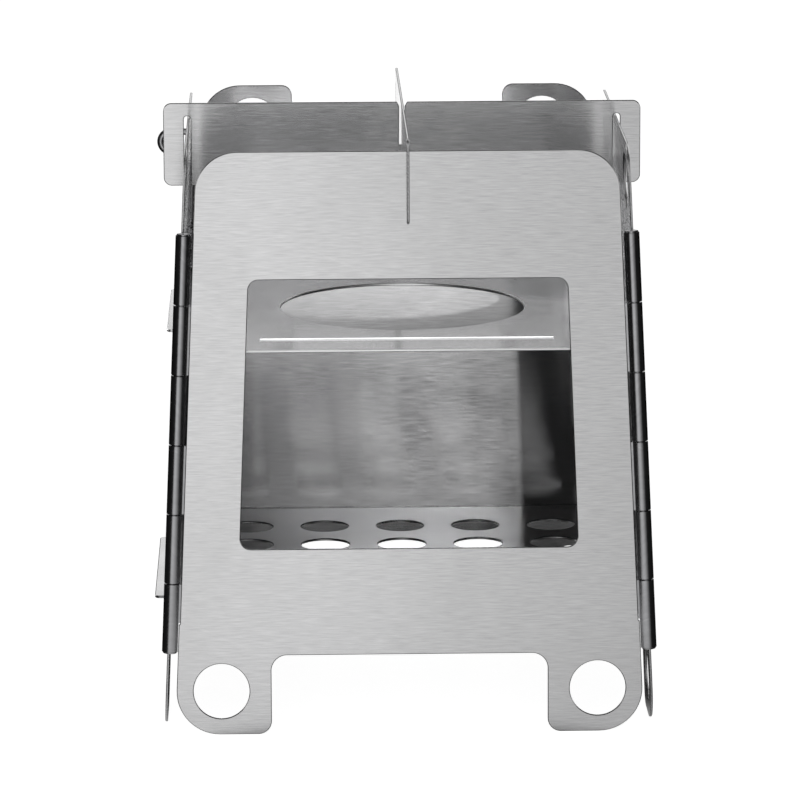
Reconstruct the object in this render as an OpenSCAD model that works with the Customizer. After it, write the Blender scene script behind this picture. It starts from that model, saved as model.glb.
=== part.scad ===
// Folding camping stove: four leaning sheet walls on hinge pins, two interlocking pot supports,
// a burner plate and a fire grate. Lengths are in millimetres, the front wall faces -Y and the
// origin is on the floor, midway between the four hinges.

/* [Walls] */
// Distance between neighbouring hinge axes at the floor
hinge_span = 145.2; // [125:0.2:170]
// Inward lean of every wall, in degrees
wall_lean = 2.55; // [1.5:0.05:3.5]
// Height of a wall, measured along its sheet
wall_h = 175; // [170:0.5:190]
// Thickness of every sheet
sheet_t = 0.8; // [0.5:0.1:1]
// Radius of the upper corners
corner_r = 12.5; // [8:0.5:14]

/* [Legs and holes] */
// Width of a leg at the floor
leg_w = 28.9; // [26:0.1:32]
// Height of the cut-out between two legs
foot_gap_h = 24; // [20:0.5:30]
// Radius at the top of the cut-out
gap_r = 4.7; // [2:0.1:8]
// Radius of the outer foot corners
foot_outer_r = 13; // [8:0.5:14]
// Radius of the inner foot corners
foot_inner_r = 4; // [2:0.5:6]
// Diameter of the holes in the legs and the upper corners
hole_d = 16.7; // [12:0.1:18]
// Centre of a leg hole, in from the outer edge
leg_hole_in = 13.4; // [11:0.1:15]
// Centre of a leg hole, up from the floor
leg_hole_up = 13.2; // [11:0.1:15]
// Centre of an upper hole, in from the outer edge
top_hole_in = 16.5; // [13:0.1:20]
// Centre of an upper hole, down from the top edge
top_hole_down = 12.4; // [11:0.1:15]
// Small outward step of the side edges above the feet
step_out = 0.35; // [0:0.05:0.35]
// Height of that step
step_up = 33.5; // [30:0.5:38]

/* [Window] */
// Width of the wall beside the window's upper corners
window_side_top = 16.65; // [12:0.05:24]
// Width of the wall beside the window's lower corners
window_side_low = 17; // [12:0.05:24]
// Height of the window's lower edge
window_up = 56.2; // [50:0.1:65]
// Height of the window
window_h = 80.8; // [60:0.1:90]
// Corner radius of the window
window_r = 3.2; // [1:0.1:8]

/* [Rear ears] */
// Width of the rear wall's ears
ear_w = 28.5; // [26:0.1:32]
// Depth of the gap between the ears
ear_gap_h = 24; // [20:0.5:28]
// Radius of the ears' inner corners
ear_r = 3.4; // [1:0.1:6]

/* [Hinges] */
// Diameter of the hinge pins
pin_d = 3; // [2:0.1:3.4]
// Radial play of a pin in its knuckles
pin_play = 0.05; // [0.03:0.01:0.1]
// Number of knuckles on one hinge
knuckle_count = 6; // [4:2:8]
// Length of one knuckle
knuckle_l = 20.65; // [15:0.05:20.8]
// Gap between two knuckles
knuckle_gap = 0.25; // [0.2:0.05:0.5]
// Lower end of the hinges, measured along the hinge
hinge_low = 25.4; // [22:0.1:28]
// Gap between a sheet's edge and the knuckles of its neighbour
edge_gap = 0.45; // [0.4:0.05:0.8]
// Diameter of a fixed pin's heads
head_d = 4.1; // [3.6:0.1:4.6]
// Height of a fixed pin's heads
head_h = 0.6; // [0.3:0.1:1]

/* [Removable pin] */
// Outer height of the pull loop
loop_h = 8.9; // [7:0.1:12]
// Wire diameter of the pull loop
loop_wire = 2.2; // [1.5:0.1:2.6]
// Reach of the pull loop from the pin's axis
loop_reach = 10.9; // [9:0.1:14]
// Middle of the pull loop above the hinge
loop_up = 6.35; // [5.5:0.05:9]
// Diameter of the shoulder that stops the pin
shoulder_d = 4.4; // [4:0.1:4.6]
// Height of the shoulder
shoulder_h = 1.2; // [0.6:0.1:1.4]

/* [Pot supports] */
// Width of the ears at the supports' ends, outside the walls
support_ear_w = 6.3; // [5:0.1:10]
// Height of each support
support_h = 25.5; // [22:0.5:26]
// Top edge of the supports above the walls
support_rise = 4.5; // [3:0.1:8]
// Width of the notches that straddle the walls
notch_w = 2.1; // [1.9:0.1:3]
// Rise of a notch's rounded top above the wall
notch_rise = 0.45; // [0.4:0.05:0.8]
// Corner radius of the supports
support_r = 2.5; // [1:0.1:4]
// Radius of the lip beside a notch
lip_r = 0.5; // [0.2:0.1:1]
// Width of the slot where the supports cross
cross_slot_w = 1.6; // [1.2:0.1:2.4]
// Depth of that slot from the top edge
cross_slot_d = 13.2; // [10:0.1:15]
// Width of the slot's flared mouth
mouth_w = 3.1; // [2.6:0.1:4]
// Depth of the flared mouth
mouth_d = 1.6; // [0.8:0.1:3]
// Play between the two supports where they cross
cross_play = 0.1; // [0.05:0.05:0.3]

/* [Burner plate] */
// Height of the burner plate's upper face
burner_up = 115.7; // [100:0.1:130]
// Diameter of the opening that a spirit burner hangs in
burner_d = 75; // [60:0.5:80]
// Ends of the slot along the front edge, in from the plate's sides
burner_slot_side = 23; // [15:0.5:30]
// Width of the slot
burner_slot_w = 3.5; // [2:0.1:5]
// Far side of the slot, in from the front edge
burner_slot_in = 17; // [12:0.1:20]
// Length of the burner plate's side tabs
burner_tab_l = 65.4; // [50:0.2:80]
// Distance of the tabs' middle from the centre, toward the front
burner_tab_fore = 1.7; // [0:0.1:6]
// Reach of the left tab beyond its wall
burner_tab_left = 3.7; // [1:0.1:6]
// Reach of the right tab beyond its wall
burner_tab_right = 2.2; // [1:0.1:6]

/* [Fire grate] */
// Height of the grate's upper face
grate_up = 35.2; // [30:0.1:45]
// Diameter of the air holes
grate_hole_d = 15.2; // [8:0.1:18]
// Distance between neighbouring air holes
grate_pitch = 24.1; // [20:0.1:25]
// Number of air holes each way
grate_count = 5; // [3:1:5]
// Distance of the hole pattern's middle from the centre, toward the front
grate_holes_fore = 3; // [0:0.1:4]
// Length of the grate's side tabs
grate_tab_l = 76; // [60:0.2:90]
// Distance of the tabs' middle from the centre, toward the front
grate_tab_fore = 5; // [0:0.1:8]
// Reach of the left tab beyond its wall
grate_tab_left = 4.6; // [1:0.1:6]
// Reach of the right tab beyond its wall
grate_tab_right = 2.2; // [1:0.1:6]

/* [Fits] */
// Play of the plates against the walls
plate_play = 0.8; // [0.3:0.1:1.5]
// Play of a tab in its slot, above and below
slot_play = 0.3; // [0.25:0.05:0.5]
// Play of a tab in its slot, at each end
slot_end_play = 0.4; // [0.3:0.1:1]
// Corner radius of the plates, which clears the hinges
plate_r = 8; // [7.5:0.5:12]
// Corner radius of the tabs
tab_r = 1.5; // [0.5:0.1:2]

/* [Hidden] */

// a cut runs past the faces that it opens
cut = 1;
// facets of a round edge, and facets of a rounded corner
$fn = 64;
corner_steps = 8;
half_turn = 180;
// radius of a notch's upper corners, as a share of half its width
notch_round_share = 0.95;

titanium = [0.72, 0.72, 0.73];
polished = [0.2, 0.2, 0.21];

hinge_half = hinge_span / 2;
hole_r = hole_d / 2;
pin_r = pin_d / 2;
bore_r = pin_r + pin_play;
knuckle_r = bore_r + sheet_t;
knuckle_pitch = knuckle_l + knuckle_gap;
hinge_l = knuckle_count * knuckle_pitch - knuckle_gap;
hinge_high = hinge_low + hinge_l;

// the hinge axes lean both ways, and in a wall's own plane they lean by this angle
edge_lean = atan(sin(wall_lean));
// a sheet's edge runs parallel to its hinge axis, this far from it
edge_in = knuckle_r + edge_gap;

// how far a wall's inner face is from the centre, at a height above the floor
function wall_at(z) = hinge_half - z * tan(wall_lean);
// a sheet's thickness, measured level through the leaning wall
sheet_level = sheet_t / cos(wall_lean);
// where a sheet's side edge is at a height along the sheet
function edge_at(v) = hinge_half - edge_in / cos(edge_lean) - v * tan(edge_lean);

top_hole_up = wall_h - top_hole_down;
window_high = window_up + window_h;

// highest corner of a wall's top edge, and the supports above it
seat_z = wall_h * cos(wall_lean) + sheet_t * sin(wall_lean);
support_top = seat_z + support_rise;
support_low = support_top - support_h;
notch_top = seat_z + notch_rise;
notch_r = notch_round_share * notch_w / 2;
// a notch stands upright over the leaning wall, so it is centred halfway down
notch_at = wall_at((notch_top + support_low) / 2) + sheet_level / 2;
support_end = notch_at + notch_w / 2 + support_ear_w;
// bottom of the cross slot in the one support and top of it in the other
cross_z = support_top - cross_slot_d;

loop_wire_r = loop_wire / 2;
loop_turn_r = (loop_h - loop_wire) / 2;
loop_z = hinge_high + loop_up;
pin_top = loop_z + loop_turn_r + loop_wire_r;

// turn of each wall about the vertical, from the front wall
front_turn = 0;
right_turn = 90;
rear_turn = half_turn;
left_turn = -90;

// points of a closed outline whose corners [x, y, radius] are rounded
function unit(v) = v / norm(v);
function xy(p) = [p[0], p[1]];
function arc(before, p, after, r) =
    let (to_before = unit(before - p), to_after = unit(after - p),
         half = acos(to_before * to_after) / 2,
         middle = p + unit(to_before + to_after) * r / sin(half),
         first = p + to_before * r / tan(half) - middle,
         last = p + to_after * r / tan(half) - middle,
         sweep = (half_turn - 2 * half) * sign(cross(first, last)))
    [for (i = [0 : corner_steps])
        let (t = sweep * i / corner_steps)
        middle + [first[0] * cos(t) - first[1] * sin(t), first[0] * sin(t) + first[1] * cos(t)]];
function rounded(p) = let (n = len(p))
    [for (i = [0 : n - 1])
        each p[i][2] == 0
            ? [xy(p[i])]
            : arc(xy(p[(i + n - 1) % n]), xy(p[i]), xy(p[(i + 1) % n]), p[i][2])];

// a half outline, listed upward on the +X side, joined to its mirror image
function mirrored(half) = let (n = len(half))
    concat(half, [for (i = [n - 1 : -1 : 0]) [-half[i][0], half[i][1], half[i][2]]]);

// stands a child that is drawn upright in XY onto a wall, with +Z facing outward
module on_wall(turn) {
    rotate([0, 0, turn])
        translate([0, -hinge_half, 0])
            rotate([90 - wall_lean, 0, 0])
                children();
}

// puts a child's Z axis on the hinge at one side of a wall
module on_hinge(side) {
    translate([side * hinge_half, 0, 0])
        rotate([0, 0, side * edge_lean])
            rotate([-90, 0, 0])
                children();
}

// outline of a wall, without its top corners
foot_out = edge_at(0) + step_out;
wall_foot = [
    [foot_out - leg_w, foot_gap_h, gap_r],
    [foot_out - leg_w, 0, foot_inner_r],
    [foot_out, 0, foot_outer_r],
    [edge_at(step_up) + step_out, step_up, 0],
    [edge_at(step_up + step_out), step_up + step_out, 0]];
wall_corner = [[edge_at(wall_h), wall_h, corner_r]];
ear_in = edge_at(wall_h) - ear_w;
ear_corners = [[ear_in, wall_h, ear_r], [ear_in, wall_h - ear_gap_h, gap_r]];

module hole_pair(out, up) {
    for (side = [-1, 1])
        translate([side * out, up])
            circle(hole_r);
}

module leg_holes() { hole_pair(edge_at(leg_hole_up) + step_out - leg_hole_in, leg_hole_up); }
module top_holes() { hole_pair(edge_at(top_hole_up) - top_hole_in, top_hole_up); }

// slot that a plate's tab passes through: height of the plate, its tab and the way to the front
module tab_slot(up, tab_l, fore, front) {
    middle_z = up - sheet_t / 2;
    v = (middle_z - sheet_t / 2 * sin(wall_lean)) / cos(wall_lean);
    translate([front * fore, v])
        square([tab_l + 2 * slot_end_play, sheet_t + 2 * slot_play], center = true);
}

module front_panel() {
    color(titanium)
        on_wall(front_turn)
            linear_extrude(sheet_t)
                difference() {
                    polygon(rounded(mirrored(concat(wall_foot, wall_corner))));
                    leg_holes();
                    polygon(rounded(mirrored([
                        [edge_at(window_up) - window_side_low, window_up, window_r],
                        [edge_at(window_high) - window_side_top, window_high, window_r]])));
                }
}

module rear_panel() {
    color(titanium)
        on_wall(rear_turn)
            linear_extrude(sheet_t)
                difference() {
                    polygon(rounded(mirrored(concat(wall_foot, wall_corner, ear_corners))));
                    leg_holes();
                    top_holes();
                }
}

// a side wall; front says which way along the wall its front edge lies
module side_panel(turn, front) {
    color(titanium)
        on_wall(turn)
            linear_extrude(sheet_t)
                difference() {
                    polygon(rounded(mirrored(concat(wall_foot, wall_corner))));
                    leg_holes();
                    top_holes();
                    tab_slot(burner_up, burner_tab_l, burner_tab_fore, front);
                    tab_slot(grate_up, grate_tab_l, grate_tab_fore, front);
                }
}

module left_panel() { side_panel(left_turn, 1); }
module right_panel() { side_panel(right_turn, -1); }

// every second knuckle of a hinge, rolled from the edge of one wall
module knuckles(turn, side, first) {
    step_top = step_up + step_out + edge_gap;
    color(polished)
        on_wall(turn)
            on_hinge(side)
                difference() {
                    for (i = [first : 2 : knuckle_count - 1]) {
                        low = hinge_low + i * knuckle_pitch;
                        leaf_low = max(low, step_top);
                        translate([0, 0, low])
                            cylinder(h = knuckle_l, r = knuckle_r);
                        translate([min(0, -side * edge_in), -sheet_t, leaf_low])
                            cube([edge_in, sheet_t, low + knuckle_l - leaf_low]);
                    }
                    translate([0, 0, hinge_low - cut])
                        cylinder(h = hinge_l + 2 * cut, r = bore_r);
                }
}

module front_knuckles_left() { knuckles(front_turn, -1, 0); }
module front_knuckles_right() { knuckles(front_turn, 1, 0); }
module right_knuckles_front() { knuckles(right_turn, -1, 1); }
module right_knuckles_rear() { knuckles(right_turn, 1, 1); }
module rear_knuckles_right() { knuckles(rear_turn, -1, 0); }
module rear_knuckles_left() { knuckles(rear_turn, 1, 0); }
module left_knuckles_rear() { knuckles(left_turn, -1, 1); }
module left_knuckles_front() { knuckles(left_turn, 1, 1); }

// a pin that stays in its hinge, with a head at each end
module fixed_pin(turn, side) {
    color(polished)
        on_wall(turn)
            on_hinge(side) {
                translate([0, 0, hinge_low - pin_play - head_h])
                    cylinder(h = hinge_l + 2 * (pin_play + head_h), r = pin_r);
                for (z = [hinge_low - pin_play - head_h, hinge_high + pin_play])
                    translate([0, 0, z])
                        cylinder(h = head_h, r = head_d / 2);
            }
}

module pin_front_left() { fixed_pin(front_turn, -1); }
module pin_front_right() { fixed_pin(front_turn, 1); }
module pin_rear_right() { fixed_pin(rear_turn, -1); }

// the pin that is drawn out upward to open the ring of walls
module removable_pin() {
    color(polished)
        on_wall(rear_turn)
            on_hinge(1) {
                translate([0, 0, hinge_low - head_h])
                    cylinder(h = pin_top - hinge_low + head_h, r = pin_r);
                translate([0, 0, pin_top])
                    sphere(pin_r);
                translate([0, 0, hinge_high + pin_play])
                    cylinder(h = shoulder_h, r = shoulder_d / 2);
            }
}

// a wire bow that is set into the removable pin
module pull_loop() {
    leg_l = loop_reach - loop_h / 2;
    color(polished)
        on_wall(rear_turn)
            on_hinge(1)
                difference() {
                    translate([0, 0, loop_z]) {
                        for (side = [-1, 1])
                            translate([0, 0, side * loop_turn_r])
                                rotate([0, 90, 0])
                                    cylinder(h = leg_l, r = loop_wire_r);
                        translate([leg_l, 0, 0])
                            rotate([0, 90, 0])
                                rotate([90, 0, 0])
                                    rotate_extrude(angle = half_turn)
                                        translate([loop_turn_r, 0])
                                            circle(loop_wire_r);
                    }
                    translate([0, 0, loop_z - loop_h])
                        cylinder(h = 2 * loop_h, r = bore_r);
                }
}

// half outline of a pot support with its notch over the wall, listed upward on the +X side
notch_half = [
    [notch_at - notch_w / 2, support_low, 0],
    [notch_at - notch_w / 2, notch_top, notch_r],
    [notch_at + notch_w / 2, notch_top, notch_r],
    [notch_at + notch_w / 2, support_low, lip_r],
    [support_end, support_low, support_r],
    [support_end, support_top, support_r]];
slot_from_top = [
    [mouth_w / 2, support_top, 0],
    [cross_slot_w / 2, support_top - mouth_d, 0],
    [cross_slot_w / 2, cross_z, 0]];
slot_from_below = [
    [cross_slot_w / 2, cross_z + cross_play, 0],
    [cross_slot_w / 2, support_low + mouth_d, 0],
    [mouth_w / 2, support_low, 0]];

module support(half) {
    color(titanium)
        rotate([90, 0, 0])
            translate([0, 0, -sheet_t / 2])
                linear_extrude(sheet_t)
                    polygon(rounded(mirrored(half)));
}

module support_across() { support(concat(notch_half, slot_from_top)); }
module support_lengthwise() {
    rotate([0, 0, 90])
        support(concat(slot_from_below, notch_half));
}

// outline of a level plate between the walls, with a tab through each side wall
module plate_outline(up, tab_l, fore, reach_left, reach_right) {
    half = wall_at(up) - plate_play;
    tab_tip = wall_at(up) + sheet_level;
    front = -fore - tab_l / 2;
    rear = -fore + tab_l / 2;
    polygon(rounded([
        [-half, -half, plate_r], [half, -half, plate_r],
        [half, front, 0], [tab_tip + reach_right, front, tab_r],
        [tab_tip + reach_right, rear, tab_r], [half, rear, 0],
        [half, half, plate_r], [-half, half, plate_r],
        [-half, rear, 0], [-tab_tip - reach_left, rear, tab_r],
        [-tab_tip - reach_left, front, tab_r], [-half, front, 0]]));
}

module burner_plate() {
    half = wall_at(burner_up) - plate_play;
    slot_y = burner_slot_in - half - burner_slot_w / 2;
    slot_l = 2 * (half - burner_slot_side);
    color(titanium)
        translate([0, 0, burner_up - sheet_t])
            linear_extrude(sheet_t)
                difference() {
                    plate_outline(burner_up, burner_tab_l, burner_tab_fore,
                                  burner_tab_left, burner_tab_right);
                    circle(burner_d / 2, $fn = 2 * $fn);
                    translate([0, slot_y])
                        square([slot_l, burner_slot_w], center = true);
                }
}

module fire_grate() {
    first = -(grate_count - 1) / 2;
    color(titanium)
        translate([0, 0, grate_up - sheet_t])
            linear_extrude(sheet_t)
                difference() {
                    plate_outline(grate_up, grate_tab_l, grate_tab_fore,
                                  grate_tab_left, grate_tab_right);
                    for (i = [first : -first], j = [first : -first])
                        translate([i * grate_pitch, j * grate_pitch - grate_holes_fore])
                            circle(grate_hole_d / 2);
                }
}

front_panel();
left_panel();
right_panel();
rear_panel();
front_knuckles_left();
front_knuckles_right();
right_knuckles_front();
right_knuckles_rear();
rear_knuckles_right();
rear_knuckles_left();
left_knuckles_rear();
left_knuckles_front();
pin_front_left();
pin_front_right();
pin_rear_right();
removable_pin();
pull_loop();
support_across();
support_lengthwise();
burner_plate();
fire_grate();
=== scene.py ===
import math

import bpy
import bmesh
from mathutils import Matrix, Vector


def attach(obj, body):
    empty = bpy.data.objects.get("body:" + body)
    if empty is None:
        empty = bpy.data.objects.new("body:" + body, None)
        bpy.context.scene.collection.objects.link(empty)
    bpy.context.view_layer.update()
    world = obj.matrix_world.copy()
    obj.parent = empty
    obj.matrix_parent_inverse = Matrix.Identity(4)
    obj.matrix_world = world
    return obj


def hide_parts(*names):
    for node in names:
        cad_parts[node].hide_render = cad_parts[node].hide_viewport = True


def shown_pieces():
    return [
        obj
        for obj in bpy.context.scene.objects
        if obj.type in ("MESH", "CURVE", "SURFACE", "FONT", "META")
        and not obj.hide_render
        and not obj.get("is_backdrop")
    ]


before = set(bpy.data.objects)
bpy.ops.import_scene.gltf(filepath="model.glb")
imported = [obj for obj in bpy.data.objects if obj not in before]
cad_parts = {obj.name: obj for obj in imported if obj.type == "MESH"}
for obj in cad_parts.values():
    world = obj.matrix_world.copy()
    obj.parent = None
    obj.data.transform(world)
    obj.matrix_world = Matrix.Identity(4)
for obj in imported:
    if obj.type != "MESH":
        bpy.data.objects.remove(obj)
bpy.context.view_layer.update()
print("frame loaded:", len(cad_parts), "nodes")

# measures that every piece shares, in millimetres and degrees
stove = {
    "hingeHalf": 72.6,
    "lean": 2.55,
    "wallHeight": 175.0,
    "sheet": 0.8,
    "edgeBreak": 0.22,
    "knuckleRadius": 2.35,
    "edgeGap": 0.45,
    "sharpAngle": 32,
    "cornerSteps": 14,
    "holeSteps": 72,
    "airHoleSteps": 64,
}
mm = 0.001
weldReach = 1e-6  # metres
lean = math.radians(stove["lean"])
edgeLean = math.atan(math.sin(lean))


def wallAt(z):  # how far a wall's inner face is from the centre at a height
    return stove["hingeHalf"] - z * math.tan(lean)


def edgeAt(v):  # where a sheet's side edge is, at a height along the sheet
    inset = (stove["knuckleRadius"] + stove["edgeGap"]) / math.cos(edgeLean)
    return stove["hingeHalf"] - inset - v * math.tan(edgeLean)


sheetLevel = stove["sheet"] / math.cos(lean)  # the sheet's thickness, cut level
seatHeight = stove["wallHeight"] * math.cos(lean) + stove["sheet"] * math.sin(lean)
wallTurns = {"front_wall": 0, "right_wall": 90, "rear_wall": 180, "left_wall": -90}


def onWall(body):  # a drawing in XY is stood up on a wall, with +Z facing outward
    return (Matrix.Rotation(math.radians(wallTurns[body]), 4, "Z")
            @ Matrix.Translation((0, -stove["hingeHalf"] * mm, 0))
            @ Matrix.Rotation(math.pi / 2 - lean, 4, "X"))


def onHinge(body, side):  # Z runs up the hinge at one side of a wall
    return (onWall(body) @ Matrix.Translation((side * stove["hingeHalf"] * mm, 0, 0))
            @ Matrix.Rotation(side * edgeLean, 4, "Z") @ Matrix.Rotation(-math.pi / 2, 4, "X"))


# outlines are lists of corners (x, y, radius), in millimetres, and loops are lists of points
def arcPoints(before, corner, after, radius, steps):
    b, p, a = Vector(before[:2]), Vector(corner[:2]), Vector(after[:2])
    toB, toA = (b - p).normalized(), (a - p).normalized()
    half = math.acos(max(-1, min(1, toB.dot(toA)))) / 2
    middle = p + (toB + toA).normalized() * radius / math.sin(half)
    first = p + toB * radius / math.tan(half) - middle
    last = p + toA * radius / math.tan(half) - middle
    sweep = (math.pi - 2 * half) * (1 if first.x * last.y - first.y * last.x > 0 else -1)
    turns = [sweep * i / steps for i in range(steps + 1)]
    return [middle + Vector((first.x * math.cos(t) - first.y * math.sin(t),
                             first.x * math.sin(t) + first.y * math.cos(t))) for t in turns]


def roundedLoop(corners):
    spots, n = [], len(corners)
    for i, c in enumerate(corners):
        if c[2] == 0:
            spots.append(Vector(c[:2]))
        else:
            after = corners[(i + 1) % n]
            spots += arcPoints(corners[i - 1], c, after, c[2], stove["cornerSteps"])
    return spots


def mirroredHalf(half):
    return half + [(-x, y, r) for x, y, r in reversed(half)]


def circleLoop(x, y, radius, steps=stove["holeSteps"]):
    turns = [2 * math.pi * i / steps for i in range(steps)]
    return [Vector((x + radius * math.cos(t), y + radius * math.sin(t))) for t in turns]


def boxLoop(x, y, width, height):
    w, h = width / 2, height / 2
    return [Vector((x + a * w, y + b * h)) for a, b in ((-1, -1), (1, -1), (1, 1), (-1, 1))]


def signedArea(loop):
    return sum(a.x * b.y - b.x * a.y for a, b in zip(loop, loop[1:] + loop[:1])) / 2


def meshObject(name, bm):
    mesh = bpy.data.meshes.new(name)
    bm.to_mesh(mesh)
    bm.free()
    made = bpy.data.objects.new(name, mesh)
    bpy.context.scene.collection.objects.link(made)
    return made


def loopsObject(name, outer, holes=()):  # closed loops; each point stores the way out of the metal
    bm = bmesh.new()
    outward = bm.verts.layers.float_vector.new("outward")
    for loop, isHole in [(outer, False)] + [(h, True) for h in holes]:
        if (signedArea(loop) < 0) != isHole:
            loop = loop[::-1]
        n = len(loop)
        verts = [bm.verts.new((p.x * mm, p.y * mm, 0)) for p in loop]
        for i, v in enumerate(verts):
            a, b = (loop[i] - loop[i - 1]).normalized(), (loop[(i + 1) % n] - loop[i]).normalized()
            na, nb = Vector((a.y, -a.x)), Vector((b.y, -b.x))
            v[outward] = ((na + nb) / (1 + na.dot(nb))).to_3d()
            bm.edges.new((v, verts[(i + 1) % n]))
    return meshObject(name, bm)


# node helpers
def nodeMaker(tree):  # gives make(), which adds a node and links or sets its inputs
    def make(kind, inputs=None, **props):
        node = tree.nodes.new(kind)
        for key, value in props.items():
            setattr(node, key, value)
        for key, value in (inputs or {}).items():
            for one in value if isinstance(value, list) else [value]:
                if isinstance(one, bpy.types.NodeSocket):
                    tree.links.new(one, node.inputs[key])
                else:
                    node.inputs[key].default_value = one
        return node
    return make


def startGroup(name, kind, inputs, outputs):
    tree = bpy.data.node_groups.new(name, kind)
    for way, sockets in (("INPUT", inputs), ("OUTPUT", outputs)):
        for label, socket in sockets:
            tree.interface.new_socket(name=label, in_out=way, socket_type="NodeSocket" + socket)
    make = nodeMaker(tree)
    return tree, make, make("NodeGroupInput").outputs, make("NodeGroupOutput").inputs


def calc(make, operation, *terms):
    return make("ShaderNodeMath", dict(enumerate(terms)), operation=operation).outputs[0]


def vectorCalc(make, operation, *terms, **named):
    inputs = {**dict(enumerate(terms)), **named}
    return make("ShaderNodeVectorMath", inputs, operation=operation).outputs[0]


def combined(make, x=0.0, y=0.0, z=0.0):
    return make("ShaderNodeCombineXYZ", {0: x, 1: y, 2: z}).outputs[0]


def remap(make, value, low, high, toLow=0.0, toHigh=1.0):
    inputs = {0: value, 1: low, 2: high, 3: toLow, 4: toHigh}
    return make("ShaderNodeMapRange", inputs).outputs[0]


def mixLevel(make, share, under, over):
    return make("ShaderNodeMix", {0: share, 2: under, 3: over}, data_type="FLOAT").outputs[0]


def mixColour(make, share, under, over):
    return make("ShaderNodeMix", {0: share, 6: under, 7: over}, data_type="RGBA").outputs[2]


# geometry node trees
def cutSheetTree():  # loops become a flat sheet with broken edges and a square pattern of air holes
    tree, make, given, out = startGroup("Cut sheet", "GeometryNodeTree", [
        ("Geometry", "Geometry"), ("Thickness", "Float"), ("Edge Break", "Float"),
        ("Air Hole Diameter", "Float"), ("Air Hole Pitch", "Float"),
        ("Air Holes Each Way", "Int"), ("Air Holes Shift", "Float"),
        ("Face Metal", "Material"), ("Cut Metal", "Material"), ("Edge Metal", "Material")],
        [("Geometry", "Geometry")])
    tree.is_modifier = True

    def marked(geometry, name, value, faces=True):
        return make("GeometryNodeStoreNamedAttribute", {
            "Geometry": geometry, "Name": name, "Value": value, "Selection": faces},
            data_type="BOOLEAN", domain="FACE").outputs[0]

    def dressed(geometry, metalLabel, mark=None):
        inputs = {"Geometry": geometry, "Material": given[metalLabel]}
        if mark:
            inputs["Selection"] = make("GeometryNodeInputNamedAttribute", {"Name": mark},
                                       data_type="BOOLEAN").outputs["Attribute"]
        return make("GeometryNodeSetMaterial", inputs).outputs[0]

    # air holes: a circle on every point of a grid
    count, edgeBreak = given["Air Holes Each Way"], given["Edge Break"]
    reach = calc(make, "MULTIPLY", calc(make, "SUBTRACT", count, 1.0), given["Air Hole Pitch"])
    grid = make("GeometryNodeMeshGrid", {
        "Size X": reach, "Size Y": reach, "Vertices X": count, "Vertices Y": count})
    spots = make("GeometryNodeSetPosition", {
        "Geometry": grid.outputs["Mesh"], "Offset": combined(make, y=given["Air Holes Shift"])})
    radius = calc(make, "MULTIPLY", given["Air Hole Diameter"], 0.5)
    ring = make("GeometryNodeMeshCircle", {"Vertices": stove["airHoleSteps"], "Radius": radius},
                fill_type="NONE").outputs[0]
    fromMiddle = vectorCalc(make, "NORMALIZE", make("GeometryNodeInputPosition").outputs[0])
    ringOut = make("GeometryNodeStoreNamedAttribute", {
        "Geometry": ring, "Name": "outward",
        "Value": vectorCalc(make, "SCALE", fromMiddle, Scale=-1.0)},
        data_type="FLOAT_VECTOR", domain="POINT").outputs[0]
    rings = make("GeometryNodeInstanceOnPoints", {"Points": spots.outputs[0], "Instance": ringOut})
    holes = make("GeometryNodeRealizeInstances", {"Geometry": rings.outputs[0]}).outputs[0]
    loops = make("GeometryNodeJoinGeometry", {0: [given["Geometry"], holes]}).outputs[0]

    # caps: the loops drawn in by the edge break, then filled
    outward = make("GeometryNodeInputNamedAttribute", {"Name": "outward"},
                   data_type="FLOAT_VECTOR").outputs["Attribute"]
    drawIn = vectorCalc(make, "SCALE", outward, Scale=calc(make, "MULTIPLY", edgeBreak, -1.0))
    drawOut = vectorCalc(make, "SCALE", outward, Scale=edgeBreak)
    capLoops = make("GeometryNodeSetPosition", {"Geometry": loops, "Offset": drawIn}).outputs[0]
    curves = make("GeometryNodeMeshToCurve", {"Mesh": capLoops}).outputs[0]
    cap = make("GeometryNodeFillCurve", {"Curve": curves}).outputs[0]
    low = make("GeometryNodeFlipFaces", {"Mesh": cap}).outputs[0]
    high = make("GeometryNodeTransform", {
        "Geometry": cap, "Translation": combined(make, z=given["Thickness"])}).outputs[0]

    # rim: a break, the straight cut and a break, drawn up from the loops
    breakUp = combined(make, z=edgeBreak)
    straight = calc(make, "MULTIPLY_ADD", edgeBreak, -2.0, given["Thickness"])
    steps = [(vectorCalc(make, "ADD", drawOut, breakUp), True),
             (combined(make, z=straight), False),
             (vectorCalc(make, "ADD", drawIn, breakUp), True)]
    rim, top = marked(capLoops, "brokenEdge", False), True
    for offset, isBreak in steps:
        drawn = make("GeometryNodeExtrudeMesh", {
            "Mesh": rim, "Selection": top, "Offset": offset, "Offset Scale": 1.0}, mode="EDGES")
        top = drawn.outputs["Top"]
        rim = marked(drawn.outputs["Mesh"], "brokenEdge", isBreak, drawn.outputs["Side"])
    rim = marked(rim, "cutEdge", True)
    whole = make("GeometryNodeJoinGeometry", {0: [low, high, rim]}).outputs[0]
    welded = make("GeometryNodeMergeByDistance", {"Geometry": whole, "Distance": weldReach})
    real = make("GeometryNodeRealizeInstances", {"Geometry": welded.outputs[0]}).outputs[0]
    faces = dressed(real, "Face Metal")
    cuts = dressed(faces, "Cut Metal", "cutEdge")
    tree.links.new(dressed(cuts, "Edge Metal", "brokenEdge"), out["Geometry"])
    return tree


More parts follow.
